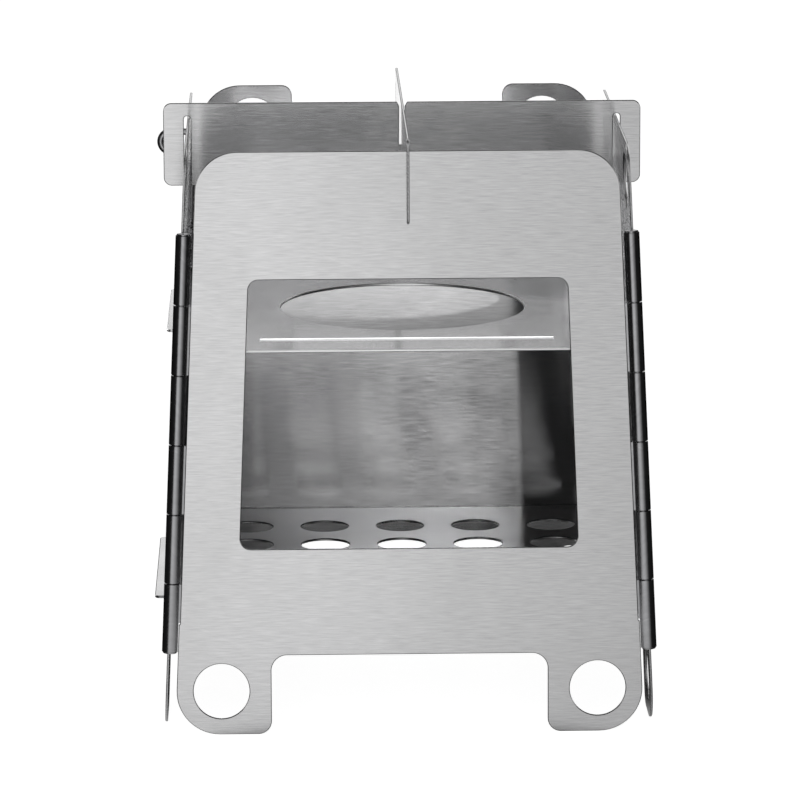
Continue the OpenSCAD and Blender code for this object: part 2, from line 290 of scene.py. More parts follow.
def knuckleRowTree():  # one rolled knuckle repeated up a hinge
    tree, make, given, out = startGroup("Knuckle row", "GeometryNodeTree", [
        ("Geometry", "Geometry"), ("Knuckles", "Int"), ("Spacing", "Float"), ("First", "Float"),
        ("Metal", "Material")], [("Geometry", "Geometry")])
    tree.is_modifier = True
    line = make("GeometryNodeMeshLine", {
        "Count": given["Knuckles"], "Start Location": combined(make, z=given["First"]),
        "Offset": combined(make, z=given["Spacing"])})
    row = make("GeometryNodeInstanceOnPoints", {
        "Points": line.outputs[0], "Instance": given["Geometry"]})
    real = make("GeometryNodeRealizeInstances", {"Geometry": row.outputs[0]})
    dressed = make("GeometryNodeSetMaterial", {
        "Geometry": real.outputs[0], "Material": given["Metal"]})
    tree.links.new(dressed.outputs[0], out["Geometry"])
    return tree


def evaluatedMesh(obj):
    bpy.context.view_layer.update()
    ready = obj.evaluated_get(bpy.context.evaluated_depsgraph_get())
    return bpy.data.meshes.new_from_object(ready)


def grownMesh(obj, tree, values):  # the tree's result as a plain mesh on the same object
    modifier = obj.modifiers.new(tree.name, "NODES")
    modifier.node_group = tree
    for item in tree.interface.items_tree:
        if item.in_out == "INPUT" and item.name in values:
            modifier[item.identifier] = values[item.name]
    obj.update_tag()
    mesh = evaluatedMesh(obj)
    obj.modifiers.remove(modifier)
    obj.data = mesh
    return obj


def finishMesh(obj, placement, sharp=stove["sharpAngle"]):  # outward normals, grain map and place
    bm = bmesh.new()
    bm.from_mesh(obj.data)
    bmesh.ops.remove_doubles(bm, verts=bm.verts, dist=weldReach)
    bmesh.ops.recalc_face_normals(bm, faces=bm.faces)
    grain = bm.loops.layers.uv.new("grain")
    for face in bm.faces:
        for corner in face.loops:
            p = corner.vert.co
            corner[grain].uv = (p.y + p.z, p.x)  # across the grain, then along it
    bm.to_mesh(obj.data)
    bm.free()
    obj.data.transform(placement)
    obj.data.polygons.foreach_set("use_smooth", [True] * len(obj.data.polygons))
    obj.data.set_sharp_from_angle(angle=math.radians(sharp))
    return obj


def standIn(piece, node, body):
    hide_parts(node)
    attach(piece, body)


# the patterns of the grain and the marks, the same in every metal
pattern = {
    "fineDetail": 3.0, "broadDetail": 4.0, "grooveDetail": 0.0, "lineRoughness": 0.6,
    "toneLow": 0.32, "toneHigh": 0.68,
    "smudgeDetail": 5.0, "smudgeRoughness": 0.55, "smudgeSwirl": 0.6,
    "smudgeLow": 0.38, "smudgeHigh": 0.68,
    "scratchSlants": (0.14, -0.4), "scratchDetail": 0.0, "scratchLow": 0.8, "scratchHigh": 0.86,
}


def flatNoise(make, place, detail):
    return make("ShaderNodeTexNoise", {
        "Vector": place, "Scale": 1.0, "Detail": detail, "Roughness": pattern["lineRoughness"]},
        noise_dimensions="2D").outputs[0]


def brushedGrainGroup():  # lines of a brushing belt; Vector is across, then along them, in metres
    tree, make, given, out = startGroup("Brushed grain", "ShaderNodeTree", [
        ("Vector", "Vector"), ("Fine Lines", "Float"), ("Broad Lines", "Float"),
        ("Line Length", "Float"), ("Broad Share", "Float"), ("Groove Length", "Float")],
        [("Tone", "Float"), ("Height", "Float")])
    ways = make("ShaderNodeSeparateXYZ", {0: given["Vector"]}).outputs

    def lines(density, length, detail):
        across = calc(make, "MULTIPLY", ways[0], given[density])
        along = calc(make, "MULTIPLY", ways[1], given[length])
        return flatNoise(make, combined(make, across, along), detail)

    fine = lines("Fine Lines", "Line Length", pattern["fineDetail"])
    broad = lines("Broad Lines", "Line Length", pattern["broadDetail"])
    grooves = lines("Fine Lines", "Groove Length", pattern["grooveDetail"])
    tree.links.new(mixLevel(make, given["Broad Share"], fine, broad), out["Tone"])
    tree.links.new(grooves, out["Height"])
    return tree


def handlingGroup():  # smudges in Object coordinates, and hairline scratches over the grain map
    tree, make, given, out = startGroup("Handling marks", "ShaderNodeTree", [
        ("Vector", "Vector"), ("Grain Map", "Vector"), ("Smudge Size", "Float"),
        ("Scratch Density", "Float"), ("Scratch Length", "Float")],
        [("Smudge", "Float"), ("Scratch", "Float")])
    cloud = make("ShaderNodeTexNoise", {
        "Vector": given["Vector"], "Scale": given["Smudge Size"],
        "Detail": pattern["smudgeDetail"], "Roughness": pattern["smudgeRoughness"],
        "Distortion": pattern["smudgeSwirl"]}).outputs[0]
    stretch = combined(make, given["Scratch Density"], given["Scratch Length"], 1.0)
    marks = []
    for slant in pattern["scratchSlants"]:
        turned = make("ShaderNodeVectorRotate", {"Vector": given["Grain Map"], "Angle": slant},
                      rotation_type="Z_AXIS").outputs[0]
        place = vectorCalc(make, "MULTIPLY", turned, stretch)
        lines = flatNoise(make, place, pattern["scratchDetail"])
        marks.append(remap(make, lines, pattern["scratchLow"], pattern["scratchHigh"]))
    smudge = remap(make, cloud, pattern["smudgeLow"], pattern["smudgeHigh"])
    tree.links.new(smudge, out["Smudge"])
    tree.links.new(calc(make, "MAXIMUM", *marks), out["Scratch"])
    return tree


brushedGrain, handlingMarks = brushedGrainGroup(), handlingGroup()


def metal(name, look):  # brushed or polished metal from one dictionary of values
    material = bpy.data.materials.new(name)
    material.use_nodes = True
    tree = material.node_tree
    tree.nodes.clear()
    make = nodeMaker(tree)
    spot = make("ShaderNodeTexCoord").outputs["Object"]
    grainMap = make("ShaderNodeUVMap", uv_map="grain").outputs[0]
    grain = make("ShaderNodeGroup", {
        "Vector": grainMap, "Fine Lines": look["fineLines"], "Broad Lines": look["broadLines"],
        "Line Length": look["lineLength"], "Broad Share": look["broadShare"],
        "Groove Length": look["grooveLength"]}, node_tree=brushedGrain).outputs
    marks = make("ShaderNodeGroup", {
        "Vector": spot, "Grain Map": grainMap, "Smudge Size": look["smudgeSize"],
        "Scratch Density": look["scratchDensity"], "Scratch Length": look["scratchLength"]},
        node_tree=handlingMarks).outputs
    tone = remap(make, grain["Tone"], pattern["toneLow"], pattern["toneHigh"])
    smudge = calc(make, "MULTIPLY", marks["Smudge"], look["smudge"])
    scratch = calc(make, "MULTIPLY", marks["Scratch"], look["scratch"])
    # painted shade: where a look asks for it, a sheet darkens near its middle, so the fire grate
    # looks shaded inside the walls while its tabs stay bright
    fromMiddle = calc(make, "ABSOLUTE", make("ShaderNodeSeparateXYZ", {0: spot}).outputs[0])
    paintedShade = remap(make, fromMiddle, look["paintedShadeReach"], look["paintedShadeReach"] + look["paintedShadeFade"],
                 look["paintedShade"], 0.0)
    colour = mixColour(make, tone, look["dark"], look["light"])
    for share, over in ((smudge, "stain"), (scratch, "bare"), (paintedShade, "paintedShadeColour")):
        colour = mixColour(make, share, colour, look[over])
    roughness = remap(make, tone, 0.0, 1.0, look["roughness"] - look["roughSpread"],
                      look["roughness"] + look["roughSpread"])
    for share, rougher in ((smudge, "smudgeRough"), (paintedShade, "paintedShadeRough")):
        roughness = calc(make, "MULTIPLY_ADD", share, look[rougher], roughness)
    alongGrain = make("ShaderNodeSeparateXYZ", {0: grainMap}).outputs[1]
    slope = calc(make, "MULTIPLY", alongGrain, look["turn"])
    turned = make("ShaderNodeBump", {"Height": slope, "Strength": 1.0, "Distance": 1.0})
    bump = make("ShaderNodeBump", {
        "Height": grain["Height"], "Strength": 1.0, "Distance": look["bumpDepth"],
        "Normal": turned.outputs[0]})
    shader = make("ShaderNodeBsdfPrincipled", {
        "Base Color": colour, "Roughness": roughness, "Normal": bump.outputs[0],
        "Metallic": look["metallic"], "Anisotropic": look["anisotropic"]})
    if look["anisotropic"] > 0:
        tangent = make("ShaderNodeTangent", direction_type="UV_MAP", uv_map="grain")
        tree.links.new(tangent.outputs[0], shader.inputs["Tangent"])
    make("ShaderNodeOutputMaterial", {"Surface": shader.outputs[0]})
    return material


sheetLook = {
    "dark": (0.56, 0.56, 0.565, 1), "light": (0.70, 0.70, 0.705, 1),
    "stain": (0.50, 0.50, 0.495, 1), "bare": (0.80, 0.80, 0.80, 1),
    "fineLines": 4200.0, "broadLines": 1500.0, "lineLength": 150.0, "broadShare": 0.4,
    "smudge": 0.13, "smudgeSize": 22.0, "smudgeRough": 0.35,
    "scratch": 0.1, "scratchDensity": 900.0, "scratchLength": 22.0,
    "metallic": 1.0, "roughness": 0.155, "roughSpread": 0.015, "anisotropic": 1.0,
    "bumpDepth": 0.00001, "grooveLength": 60.0,
    "turn": 0.0,  # radians, as if the sheet were bent back by so much
    # painted shade: how much a sheet darkens near its middle, its shade colour and its added
    # roughness
    "paintedShade": 0.0, "paintedShadeColour": (0.14, 0.14, 0.145, 1), "paintedShadeRough": 0.2,
    "paintedShadeReach": 0.065, "paintedShadeFade": 0.005,  # metres from the middle
}
turnedLook = dict(sheetLook, turn=0.022, smudge=0.08, roughness=0.135, bumpDepth=0.000002)
cutLook = dict(sheetLook, dark=(0.30, 0.30, 0.305, 1), light=(0.50, 0.50, 0.505, 1), smudge=0.1,
               fineLines=2600.0, lineLength=2600.0, roughness=0.25, anisotropic=0.0)
# painted highlight: near-white cut edges that show as bright lines along the burner plate's slot
# and opening
highlitEdgeLook = dict(cutLook, dark=(0.88, 0.88, 0.885, 1), light=(0.97, 0.97, 0.975, 1),
                  roughness=0.3)
# painted dark reflection: the edge breaks are near black, so the sheets' edges show a dark outline
darkOutlineLook = dict(cutLook, dark=(0.1, 0.1, 0.1, 1), light=(0.17, 0.17, 0.17, 1))
# painted dark reflection: the knuckles are rolled from the wall sheets, but their base colour is
# much darker, so they look nearly black beside their highlight
darkKnuckleLook = dict(
    sheetLook, dark=(0.33, 0.33, 0.34, 1), light=(0.40, 0.40, 0.41, 1),
    stain=(0.28, 0.28, 0.28, 1), fineLines=500.0, broadLines=120.0, lineLength=120.0, smudge=0.25,
    roughness=0.14, roughSpread=0.02, anisotropic=0.0, bumpDepth=0.000001)
wireLook = dict(darkKnuckleLook, dark=(0.42, 0.42, 0.43, 1), light=(0.55, 0.55, 0.56, 1),
                roughness=0.22, lineLength=300.0)
brushedSheet = metal("Brushed sheet", sheetLook)
turnedSheet = metal("Brushed sheet, a little turned", turnedLook)
# the fire grate's sheet, with painted shade over its part inside the walls
shadedSheet = metal("Brushed sheet, dulled by fire", dict(sheetLook, paintedShade=0.72))
cutEdge = metal("Cut edge", cutLook)
highlitCut = metal("Bright cut edge", highlitEdgeLook)
brokenEdge = metal("Broken edge", darkOutlineLook)
paintedDarkKnuckle = metal("Polished knuckle", darkKnuckleLook)
drawnWire = metal("Drawn wire", wireLook)
print("materials ready")

cutSheet, knuckleRow = cutSheetTree(), knuckleRowTree()


def sheetPiece(name, node, body, placement, outer, holes=(), airHoles=None,
               faceMetal=brushedSheet, cutMetal=cutEdge, edgeMetal=brokenEdge):
    values = {"Thickness": stove["sheet"] * mm, "Edge Break": stove["edgeBreak"] * mm,
              "Face Metal": faceMetal, "Cut Metal": cutMetal, "Edge Metal": edgeMetal,
              "Air Holes Each Way": 0}
    values.update(airHoles or {})
    piece = grownMesh(loopsObject(name, outer, holes), cutSheet, values)
    standIn(finishMesh(piece, placement), node, body)


# the four walls
walls = {
    "footOuterRadius": 13.0, "footInnerRadius": 4.0, "legWidth": 28.9, "gapHeight": 24.0,
    "gapRadius": 4.7, "stepOut": 0.35, "stepUp": 33.5, "topRadius": 12.5,
    "holeRadius": 8.35, "legHoleIn": 13.4, "legHoleUp": 13.2, "topHoleIn": 16.5,
    "topHoleDown": 12.4, "windowLow": 56.2, "windowHeight": 80.8, "windowSideLow": 17.0,
    "windowSideTop": 16.65, "windowRadius": 3.2, "earWidth": 28.5, "earGapHeight": 24.0,
    "earRadius": 3.4, "slotPlay": 0.3, "slotEndPlay": 0.4,
}
plates = {
    "play": 0.8, "cornerRadius": 8.0, "tabRadius": 1.5,
    "burner": {"up": 115.7, "tab": 65.4, "fore": 1.7, "left": 3.7, "right": 2.2,
               "opening": 37.5, "openingSteps": 144, "slotIn": 17.0, "slotWidth": 3.5,
               "slotSide": 23.0},
    "grate": {"up": 35.2, "tab": 76.0, "fore": 5.0, "left": 4.6, "right": 2.2,
              "hole": 15.2, "pitch": 24.1, "count": 5, "holesFore": 3.0},
}
footOut = edgeAt(0) + walls["stepOut"]
stepTop = walls["stepUp"] + walls["stepOut"]
wallTop = stove["wallHeight"]
topCorner = edgeAt(wallTop)
earIn = topCorner - walls["earWidth"]
wallOutline = [
    (footOut - walls["legWidth"], walls["gapHeight"], walls["gapRadius"]),
    (footOut - walls["legWidth"], 0, walls["footInnerRadius"]),
    (footOut, 0, walls["footOuterRadius"]),
    (edgeAt(walls["stepUp"]) + walls["stepOut"], walls["stepUp"], 0),
    (edgeAt(stepTop), stepTop, 0),
    (topCorner, wallTop, walls["topRadius"])]
earOutline = [(earIn, wallTop, walls["earRadius"]),
              (earIn, wallTop - walls["earGapHeight"], walls["gapRadius"])]


def holePair(out, up):
    return [circleLoop(side * out, up, walls["holeRadius"]) for side in (-1, 1)]


topHoleUp = wallTop - walls["topHoleDown"]
legHoleOut = edgeAt(walls["legHoleUp"]) + walls["stepOut"] - walls["legHoleIn"]
legHoles = holePair(legHoleOut, walls["legHoleUp"])
topHoles = holePair(edgeAt(topHoleUp) - walls["topHoleIn"], topHoleUp)


def tabSlots(front):  # the way to the front along the sheet: 1 on the left wall, -1 on the right
    slots, half = [], stove["sheet"] / 2
    for plate in (plates["burner"], plates["grate"]):
        v = (plate["up"] - half - half * math.sin(lean)) / math.cos(lean)
        slots.append(boxLoop(front * plate["fore"], v, plate["tab"] + 2 * walls["slotEndPlay"],
                             stove["sheet"] + 2 * walls["slotPlay"]))
    return slots


windowHigh = walls["windowLow"] + walls["windowHeight"]
window = roundedLoop(mirroredHalf([
    (edgeAt(walls["windowLow"]) - walls["windowSideLow"], walls["windowLow"],
     walls["windowRadius"]),
    (edgeAt(windowHigh) - walls["windowSideTop"], windowHigh, walls["windowRadius"])]))
plainWall = roundedLoop(mirroredHalf(wallOutline))
earedWall = roundedLoop(mirroredHalf(wallOutline + earOutline))
sheetPiece("frontPanel", "front_panel", "front_wall", onWall("front_wall"), plainWall,
           legHoles + [window])
sheetPiece("leftPanel", "left_panel", "left_wall", onWall("left_wall"), plainWall,
           legHoles + topHoles + tabSlots(1))
sheetPiece("rightPanel", "right_panel", "right_wall", onWall("right_wall"), plainWall,
           legHoles + topHoles + tabSlots(-1))
sheetPiece("rearPanel", "rear_panel", "rear_wall", onWall("rear_wall"), earedWall,
           legHoles + topHoles, faceMetal=turnedSheet)
print("walls ready")

# the crossed pot supports
supports = {
    "height": 25.5, "rise": 4.5, "earWidth": 6.3, "notchWidth": 2.1, "notchRise": 0.45,
    "notchShare": 0.95, "cornerRadius": 2.5, "lipRadius": 0.5, "slotWidth": 1.6,
    "slotDepth": 13.2, "mouthWidth": 3.1, "mouthDepth": 1.6, "crossPlay": 0.1,
}
supportTop = seatHeight + supports["rise"]
supportLow = supportTop - supports["height"]
notchTop = seatHeight + supports["notchRise"]
notchRadius = supports["notchShare"] * supports["notchWidth"] / 2
notchAt = wallAt((notchTop + supportLow) / 2) + sheetLevel / 2
notchIn, notchOut = notchAt - supports["notchWidth"] / 2, notchAt + supports["notchWidth"] / 2
supportEnd = notchOut + supports["earWidth"]
crossHeight = supportTop - supports["slotDepth"]
slotHalf, mouthHalf = supports["slotWidth"] / 2, supports["mouthWidth"] / 2
notchHalf = [(notchIn, supportLow, 0), (notchIn, notchTop, notchRadius),
             (notchOut, notchTop, notchRadius), (notchOut, supportLow, supports["lipRadius"]),
             (supportEnd, supportLow, supports["cornerRadius"]),
             (supportEnd, supportTop, supports["cornerRadius"])]
slotFromTop = [(mouthHalf, supportTop, 0), (slotHalf, supportTop - supports["mouthDepth"], 0),
               (slotHalf, crossHeight, 0)]
slotFromBelow = [(slotHalf, crossHeight + supports["crossPlay"], 0),
                 (slotHalf, supportLow + supports["mouthDepth"], 0), (mouthHalf, supportLow, 0)]
stoodUp = (Matrix.Rotation(math.pi / 2, 4, "X")
           @ Matrix.Translation((0, 0, -stove["sheet"] / 2 * mm)))
quarterTurn = Matrix.Rotation(math.pi / 2, 4, "Z")
sheetPiece("supportAcross", "support_across", "support_across", stoodUp,
           roundedLoop(mirroredHalf(notchHalf + slotFromTop)))
sheetPiece("supportLengthwise", "support_lengthwise", "support_lengthwise", quarterTurn @ stoodUp,
           roundedLoop(mirroredHalf(slotFromBelow + notchHalf)))
print("supports ready")


# the burner plate and the fire grate
def plateLoop(plate):
    half = wallAt(plate["up"]) - plates["play"]
    tip = wallAt(plate["up"]) + sheetLevel
    right, left = tip + plate["right"], -tip - plate["left"]
    front, rear = -plate["fore"] - plate["tab"] / 2, -plate["fore"] + plate["tab"] / 2
    r, t = plates["cornerRadius"], plates["tabRadius"]
    return roundedLoop([
        (-half, -half, r), (half, -half, r), (half, front, 0), (right, front, t),
        (right, rear, t), (half, rear, 0), (half, half, r), (-half, half, r),
        (-half, rear, 0), (left, rear, t), (left, front, t), (-half, front, 0)])


def atHeight(plate):  # a plate's upper face is at its height
    return Matrix.Translation((0, 0, (plate["up"] - stove["sheet"]) * mm))


burner, grate = plates["burner"], plates["grate"]
burnerHalf = wallAt(burner["up"]) - plates["play"]
burnerSlot = boxLoop(0, burner["slotIn"] - burnerHalf - burner["slotWidth"] / 2,
                     2 * (burnerHalf - burner["slotSide"]), burner["slotWidth"])
burnerOpening = circleLoop(0, 0, burner["opening"], burner["openingSteps"])
# the burner plate's cut edges and edge breaks carry a painted highlight
sheetPiece("burnerPlate", "burner_plate", "burner_plate", atHeight(burner), plateLoop(burner),
           [burnerOpening, burnerSlot], cutMetal=highlitCut, edgeMetal=highlitCut)
# the fire grate carries painted shade over its part inside the walls
sheetPiece("fireGrate", "fire_grate", "fire_grate", atHeight(grate), plateLoop(grate),
           faceMetal=shadedSheet,
           airHoles={"Air Hole Diameter": grate["hole"] * mm, "Air Hole Pitch": grate["pitch"] * mm,
                     "Air Holes Each Way": grate["count"],
                     "Air Holes Shift": -grate["holesFore"] * mm})
print("plates ready")

# rolled knuckles: a leaf that curls round the pin and ends in a narrow seam
hinge = {
    "low": 25.4, "knuckle": 20.65, "gap": 0.25, "knuckles": 6, "boreRadius": 1.55, "seam": 8.0,
    "rollSteps": 60, "edgeBreak": 0.12, "trimWidth": 4.0, "trimBelow": 5.0,
}
hingePitch = hinge["knuckle"] + hinge["gap"]
hingeHigh = hinge["low"] + hinge["knuckles"] * hingePitch - hinge["gap"]
leafLow = stepTop + stove["edgeGap"]


def knuckleSection(side):  # drawn for a leaf toward -X, then mirrored for the other side of a wall
    outer, inner = stove["knuckleRadius"], hinge["boreRadius"]
    leaf = outer + stove["edgeGap"]
    start = math.pi - math.asin(stove["sheet"] / outer)
    end = math.radians(hinge["seam"]) - math.pi
    n = hinge["rollSteps"]
    roll = [start + (end - start) * i / n for i in range(n + 1)]
    back = [end + (math.pi - end) * i / n for i in range(n + 1)]
    spots = [(-leaf, stove["sheet"])]
    spots += [(outer * math.cos(t), outer * math.sin(t)) for t in roll]
    spots += [(inner * math.cos(t), inner * math.sin(t)) for t in back]
    spots += [(-leaf, 0)]
    return [Vector((side * x, -y)) for x, y in spots]


def trimLeaf(piece, side):
    bpy.ops.mesh.primitive_cube_add(size=1)
    cutter = bpy.context.object
    wide, high = hinge["trimWidth"], leafLow - hinge["low"] + hinge["trimBelow"]
    place = (-side * (stove["knuckleRadius"] + wide / 2) * mm, 0, (leafLow - high / 2) * mm)
    cutter.data.transform(Matrix.Translation(place)
                          @ Matrix.Diagonal((wide * mm, wide * mm, high * mm, 1)))
    cut = piece.modifiers.new("trim", "BOOLEAN")
    cut.operation, cut.solver, cut.object = "DIFFERENCE", "EXACT", cutter
    mesh = evaluatedMesh(piece)
    piece.modifiers.remove(cut)
    piece.data = mesh
    bpy.data.objects.remove(cutter)


def knuckleRowPiece(name, node, body, side, first):
    piece = loopsObject(name, knuckleSection(side))
    grownMesh(piece, cutSheet, {
        "Thickness": hinge["knuckle"] * mm, "Edge Break": hinge["edgeBreak"] * mm,
        "Air Holes Each Way": 0, "Face Metal": paintedDarkKnuckle, "Cut Metal": paintedDarkKnuckle,
        "Edge Metal": paintedDarkKnuckle})
    grownMesh(piece, knuckleRow, {
        "Knuckles": hinge["knuckles"] // 2, "Spacing": 2 * hingePitch * mm,
        "First": (hinge["low"] + first * hingePitch) * mm, "Metal": paintedDarkKnuckle})
    if first == 0:  # the lowest leaf starts above the step in the wall's edge
        trimLeaf(piece, side)
    standIn(finishMesh(piece, onHinge(body, side)), node, body)


# each wall's neighbours at its left and right, seen from outside, and its first place in the row
wallRing = {"front": ("left", "right", 0), "right": ("front", "rear", 1),
            "rear": ("right", "left", 0), "left": ("rear", "front", 1)}
for wall, (leftOne, rightOne, first) in wallRing.items():
    for side, neighbour in ((-1, leftOne), (1, rightOne)):
        knuckleRowPiece(wall + "Knuckles" + neighbour.capitalize(),
                        f"{wall}_knuckles_{neighbour}", wall + "_wall", side, first)
print("knuckles ready")

# pins: turned profiles of (height, radius)
pins = {
    "radius": 1.5, "play": 0.05, "turnSteps": 48, "domeSteps": 8, "sharpAngle": 50,
    "headRadius": 2.05, "headHeight": 0.6, "crown": 0.35, "headBreak": 0.06, "headBreakUp": 0.03,
    "tipReach": 0.6, "tipRadius": 1.1, "tipBreakUp": 0.2, "tipBreakRadius": 1.42,
    "shoulderRadius": 2.2, "shoulderHeight": 1.2, "shoulderBreak": 0.1, "shoulderTopBreak": 0.2,
    "loopHeight": 8.9, "loopWire": 2.2, "loopReach": 10.9, "loopUp": 6.35, "loopRoot": 1.3,
    "wireSteps": 24, "bendSteps": 28,
}


def pinPiece(piece, node, body, placement):
    piece.data.materials.append(drawnWire)
    standIn(finishMesh(piece, placement, pins["sharpAngle"]), node, body)


def turnedPiece(name, node, body, placement, profile):  # from the bottom pole to the top pole
    bm = bmesh.new()
    rings, n = [], pins["turnSteps"]
    turns = [2 * math.pi * i / n for i in range(n)]
    for z, r in profile:
        spots = turns[:1] if r == 0 else turns
        rings.append([bm.verts.new((r * mm * math.cos(t), r * mm * math.sin(t), z * mm))
                      for t in spots])
    for a, b in zip(rings, rings[1:]):
        for i in range(n):
            j = (i + 1) % n
            corners = [a[i % len(a)], a[j % len(a)], b[j % len(b)], b[i % len(b)]]
            bm.faces.new(list(dict.fromkeys(corners)))
    pinPiece(meshObject(name, bm), node, body, placement)


def dome(z, radius, height, up):  # points of a domed end, from the pole outward or back
    turns = [math.pi / 2 * i / pins["domeSteps"] for i in range(pins["domeSteps"] + 1)]
    spots = [(z + up * height * math.cos(t), radius * math.sin(t)) for t in turns]
    spots[0] = (z + up * height, 0)
    return spots if up < 0 else spots[::-1]


headLow, headHigh = hinge["low"] - pins["play"], hingeHigh + pins["play"]
headRadius, crown = pins["headRadius"], pins["crown"]
headEdge = headRadius - pins["headBreak"]
peened = dome(headLow - pins["headHeight"] + crown, headRadius, crown, -1)
peened += [(headLow - pins["headBreakUp"], headRadius), (headLow, headEdge),
           (headLow, pins["radius"]), (headHigh, pins["radius"]), (headHigh, headEdge),
           (headHigh + pins["headBreakUp"], headRadius)]
peened += dome(headHigh + pins["headHeight"] - crown, headRadius, crown, 1)
turnedPiece("pinFrontLeft", "pin_front_left", "front_wall", onHinge("front_wall", -1), peened)
turnedPiece("pinFrontRight", "pin_front_right", "front_wall", onHinge("front_wall", 1), peened)
turnedPiece("pinRearRight", "pin_rear_right", "right_wall", onHinge("rear_wall", -1), peened)

# the removable pin and its pull loop
loopWireRadius = pins["loopWire"] / 2
loopTurn = (pins["loopHeight"] - pins["loopWire"]) / 2
loopHeight = hingeHigh + pins["loopUp"]
pinTop = loopHeight + loopTurn + loopWireRadius
tipLow, shoulderLow = hinge["low"] - pins["tipReach"], headHigh
shoulderTop = shoulderLow + pins["shoulderHeight"]
shoulderRadius = pins["shoulderRadius"]
longPin = [
    (tipLow, 0), (tipLow, pins["tipRadius"]),
    (hinge["low"] - pins["tipBreakUp"], pins["tipBreakRadius"]), (hinge["low"], pins["radius"]),
    (shoulderLow, pins["radius"]), (shoulderLow, shoulderRadius - pins["shoulderBreak"]),
    (shoulderLow + pins["shoulderBreak"], shoulderRadius),
    (shoulderTop - pins["shoulderTopBreak"], shoulderRadius),
    (shoulderTop, shoulderRadius - pins["shoulderTopBreak"]), (shoulderTop, pins["radius"])]
longPin += dome(pinTop, pins["radius"], pins["radius"], 1)
turnedPiece("removablePin", "removable_pin", "hinge_pin", onHinge("rear_wall", 1), longPin)


def pullLoopPiece():  # round wire swept out, round and back to the pin
    straight, root = pins["loopReach"] - pins["loopHeight"] / 2, pins["loopRoot"]
    bends = [math.pi * i / pins["bendSteps"] for i in range(pins["bendSteps"] + 1)]
    line = [(root, loopTurn), (straight / 2, loopTurn)]
    line += [(straight + loopTurn * math.sin(t), loopTurn * math.cos(t)) for t in bends]
    line += [(straight / 2, -loopTurn), (root, -loopTurn)]
    path = [Vector((x, 0, z + loopHeight)) for x, z in line]
    bm = bmesh.new()
    rings, n, across = [], pins["wireSteps"], Vector((0, 1, 0))
    turns = [2 * math.pi * k / n for k in range(n)]
    for i, p in enumerate(path):
        ahead = (path[min(i + 1, len(path) - 1)] - path[max(i - 1, 0)]).normalized()
        side = across.cross(ahead)
        spots = [p + loopWireRadius * (side * math.cos(t) + across * math.sin(t)) for t in turns]
        rings.append([bm.verts.new(spot * mm) for spot in spots])
    for a, b in zip(rings, rings[1:]):
        for i in range(n):
            bm.faces.new((a[i], a[(i + 1) % n], b[(i + 1) % n], b[i]))
    bm.faces.new(rings[0])
    bm.faces.new(rings[-1])
    pinPiece(meshObject("pullLoop", bm), "pull_loop", "hinge_pin", onHinge("rear_wall", 1))


pullLoopPiece()
print("pins ready")

# studio: a soft box in front that fades to the right, and a pale table; lengths in metres
studio = {
    "floorSize": 8.0, "floorGlow": 0.955, "floorDiffuse": 0.7, "softBox": 2.35, "ambient": 0.015,
    "stoveHalf": 0.07, "widthSlant": 1.1, "nearest": 0.02, "sinkHeight": 0.05, "sinkDepth": 0.22,
    "shadeRadius": 0.08, "shadeEdge": 0.02, "shadeLevel": 0.04,
    # levels by azimuth in degrees, 0 at the front, and by height from straight down to straight up
    "byAzimuth": [(-180, 0.5), (-171, 0.5), (-168, 0.0), (-36, 0.01), (-25, 0.42), (-8, 0.46),
                  (-1, 0.44), (4, 0.33), (12, 0.29), (22, 0.15), (34, 0.1), (42, 0.01),
                  (168, 0.0), (171, 0.5), (180, 0.5)],
    "byHeight": [(0.0, 0.02), (0.27, 0.06), (0.34, 0.55), (0.41, 0.78), (0.46, 0.97), (0.55, 1.0),
                 (0.62, 0.88), (0.8, 0.88), (0.95, 0.3)],
}


def ramp(make, value, stops):
    node = make("ShaderNodeValToRGB", {0: value})
    marks = node.color_ramp.elements
    while len(marks) < len(stops):
        marks.new(0.5)
    for mark, (place, level) in zip(marks, stops):
        mark.position, mark.color = place, (level, level, level, 1)
    return node.outputs[0]


def studioLevelGroup():  # how bright the studio is in a direction
    tree, make, given, out = startGroup("Studio level", "ShaderNodeTree", [
        ("Direction", "Vector"), ("Soft Box", "Float")], [("Level", "Float")])
    ways = make("ShaderNodeSeparateXYZ", {0: given["Direction"]}).outputs
    azimuth = calc(make, "ARCTAN2", ways[0], calc(make, "MULTIPLY", ways[1], -1.0))
    stops = [((degrees + 180) / 360, level) for degrees, level in studio["byAzimuth"]]
    around = ramp(make, remap(make, azimuth, -math.pi, math.pi), stops)
    rise = ramp(make, remap(make, ways[2], -1.0, 1.0), studio["byHeight"])
    level = calc(make, "MULTIPLY", calc(make, "MULTIPLY", around, rise), given["Soft Box"])
    tree.links.new(level, out["Level"])
    return tree


studioLevel = studioLevelGroup()


def levelToward(make, direction):
    return make("ShaderNodeGroup", {"Direction": direction, "Soft Box": studio["softBox"]},
                node_tree=studioLevel).outputs["Level"]


